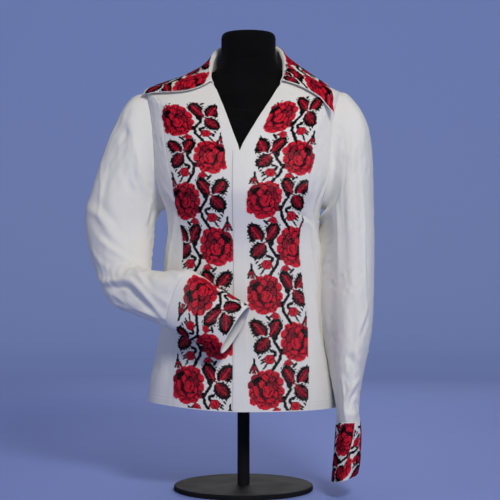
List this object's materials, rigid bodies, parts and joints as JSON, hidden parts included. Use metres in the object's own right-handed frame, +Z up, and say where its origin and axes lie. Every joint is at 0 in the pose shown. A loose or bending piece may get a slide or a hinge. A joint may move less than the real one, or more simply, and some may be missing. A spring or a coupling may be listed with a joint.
{
  "type": "vyshyvanka shirt on dress form",
  "caption": "White folk shirt with cross-stitched rose bands down both fronts and on collar and cuffs, worn on a black limbless dress form with a pole and round base.",
  "frame": {"origin": "middle of the base's flat underside, on the floor", "axes": "+Z up, the shirt's front faces -Y, +X is the wearer's left"},
  "size_m": [0.5178, 0.2989, 0.8212],
  "materials": {
    "cotton": "matt plain-woven white cotton",
    "form_cover": "matt black jersey cover",
    "stand": "satin black paint"
  },
  "bodies": {
    "root": {"front_right": "cotton", "front_left": "cotton", "side_front_right": "cotton", "side_front_left": "cotton", "back": "cotton", "placket": "cotton", "neck_facing_right": "cotton", "neck_facing_left": "cotton", "collar": "cotton", "sleeve_right": "cotton", "sleeve_left": "cotton", "cuff_right": "cotton", "cuff_left": "cotton", "form_torso": "form_cover", "form_pole": "stand", "form_base": "stand"}
  },
  "joints": []
}
